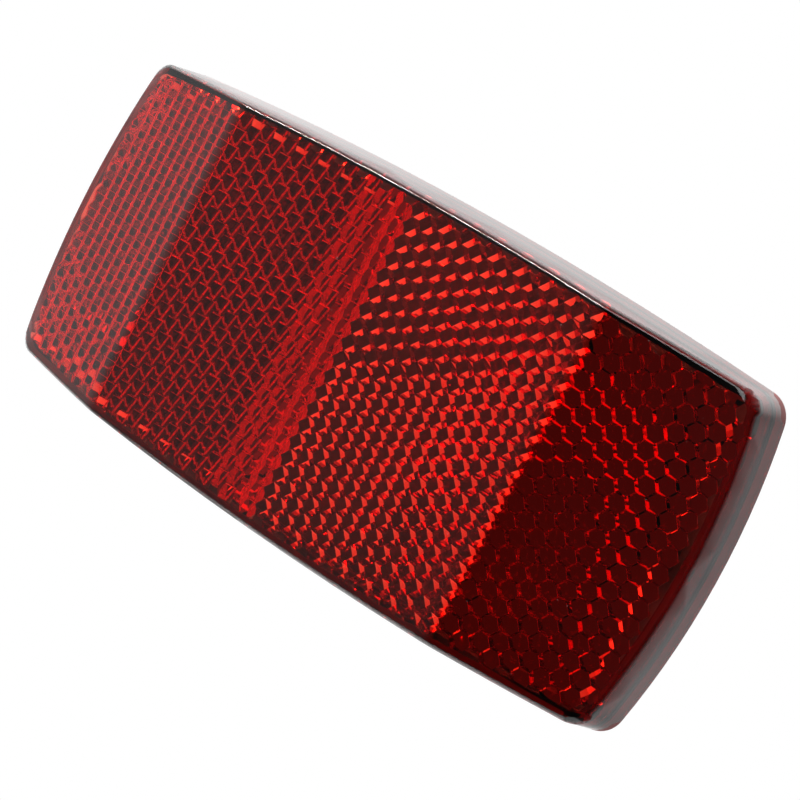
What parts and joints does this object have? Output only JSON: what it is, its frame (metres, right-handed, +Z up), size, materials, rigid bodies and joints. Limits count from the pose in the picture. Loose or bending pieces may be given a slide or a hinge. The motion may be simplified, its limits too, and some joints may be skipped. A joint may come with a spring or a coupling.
{
  "type": "bicycle rack reflector",
  "caption": "Wide red rear reflector for a luggage rack: bowed lens with bent-back ends and moulded cube-corner prisms, closed by a black back plate with threaded studs.",
  "frame": {"origin": "midway between the studs, on the rear face of the back plate that rests against the rack", "axes": "+X to the right seen from the front of the lens, +Y from the lens to the rack along the studs, +Z up"},
  "size_m": [0.1, 0.0242, 0.046],
  "materials": {
    "lens": "clear red acrylic, polished",
    "back_plate": "moulded black ABS",
    "studs": "zinc plated"
  },
  "bodies": {
    "root": {"lens": "lens", "back_plate": "back_plate", "mounting_studs": "studs"}
  },
  "joints": []
}
